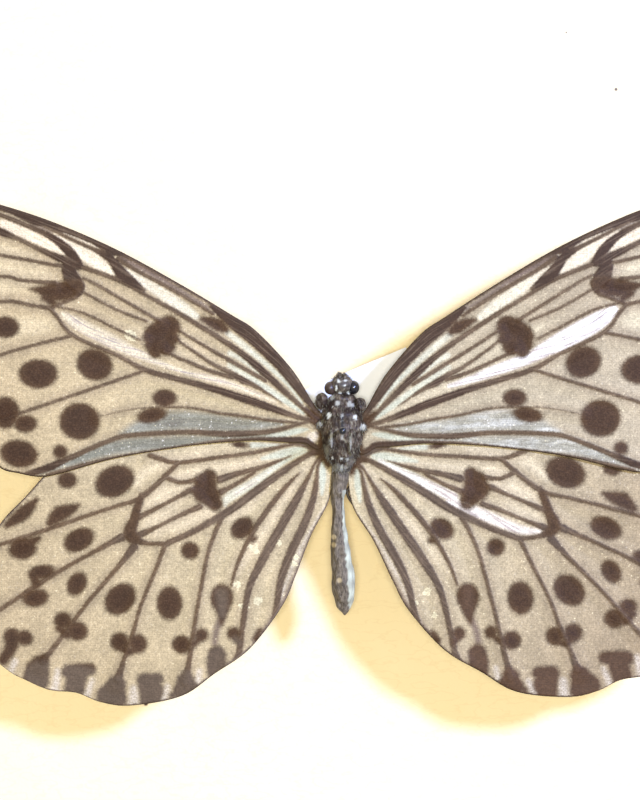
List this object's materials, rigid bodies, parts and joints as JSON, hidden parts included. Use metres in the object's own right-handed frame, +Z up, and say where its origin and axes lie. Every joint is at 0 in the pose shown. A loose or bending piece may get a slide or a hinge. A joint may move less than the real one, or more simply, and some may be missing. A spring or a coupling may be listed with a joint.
{
  "type": "pinned butterfly specimen",
  "caption": "Large pale spotted butterfly, dried and spread, on an insect pin with a blank data label, standing in a flat foam pinning board.",
  "frame": {"origin": "middle of the underside of the board", "axes": "+X to the right across the wings as seen from above, +Y towards the butterfly's head, +Z up along the pin"},
  "size_m": [0.16, 0.14, 0.04],
  "materials": {
    "foam": "matte",
    "label_paper": "matte",
    "pin_steel": "gloss",
    "body_hair": "matte",
    "abdomen_hide": "satin",
    "wing_scales": "satin",
    "leg_horn": "satin"
  },
  "bodies": {
    "root": {"pinning_board": "foam", "data_label": "label_paper", "pin": "pin_steel", "head": "body_hair", "proboscis": "leg_horn", "thorax": "body_hair", "abdomen": "abdomen_hide", "forewing_left": "wing_scales", "forewing_right": "wing_scales", "hindwing_left": "wing_scales", "hindwing_right": "wing_scales", "foreleg_left": "leg_horn", "foreleg_right": "leg_horn", "leg_middle_left": "leg_horn", "leg_middle_right": "leg_horn", "leg_hind_left": "leg_horn", "leg_hind_right": "leg_horn"}
  },
  "joints": []
}
